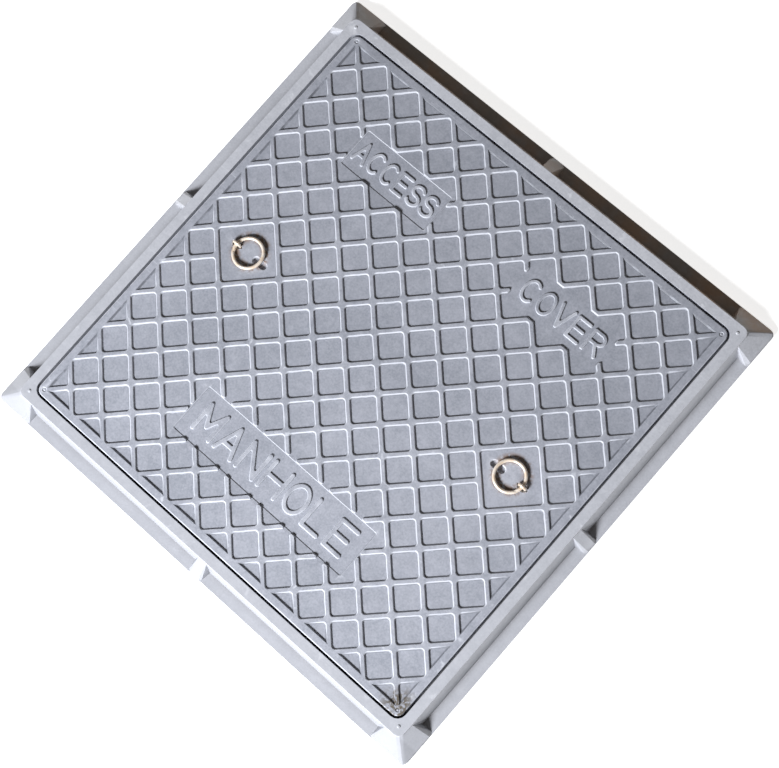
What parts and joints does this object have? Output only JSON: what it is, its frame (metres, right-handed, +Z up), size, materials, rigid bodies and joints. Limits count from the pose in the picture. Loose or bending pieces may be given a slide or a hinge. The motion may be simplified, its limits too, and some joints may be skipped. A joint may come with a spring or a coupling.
{
  "type": "manhole cover",
  "caption": "Square moulded manhole cover: flanged frame and lift-out lid with a raised diamond grid and wire pull rings.",
  "frame": {"origin": "middle of the underside of the frame's base flange", "axes": "+Z up out of the chamber; +X from the left pull ring to the right one, along the lid's lettering; +Y towards the letters' tops"},
  "size_m": [0.69, 0.69, 0.0366],
  "materials": {
    "frame_moulding": "satin",
    "lid_moulding": "satin",
    "ring_brass": "satin",
    "fastener_steel": "satin",
    "gasket_rubber": "matte"
  },
  "bodies": {
    "frame": {"frame": "frame_moulding", "seat_gasket": "gasket_rubber"},
    "lid": {"lid": "lid_moulding", "eye_staple_left": "ring_brass", "eye_plate_left": "fastener_steel", "eye_nut_left_outer": "fastener_steel", "eye_nut_left_inner": "fastener_steel", "eye_staple_right": "ring_brass", "eye_plate_right": "fastener_steel", "eye_nut_right_outer": "fastener_steel", "eye_nut_right_inner": "fastener_steel"},
    "ring_left": {"ring_left": "ring_brass"},
    "ring_right": {"ring_right": "ring_brass"}
  },
  "joints": [
    {"name": "lid_lift", "type": "slide", "parent": "frame", "child": "lid", "axis": [0, 0, 1], "range_m": [0, 0.1]},
    {"name": "ring_left_swing", "type": "hinge", "parent": "lid", "child": "ring_left", "pos_m": [-0.236, 0, 0.03005], "axis": [0, -1, 0], "range_deg": [0, 160]},
    {"name": "ring_right_swing", "type": "hinge", "parent": "lid", "child": "ring_right", "pos_m": [0.236, 0, 0.03005], "axis": [0, 1, 0], "range_deg": [0, 160]}
  ]
}
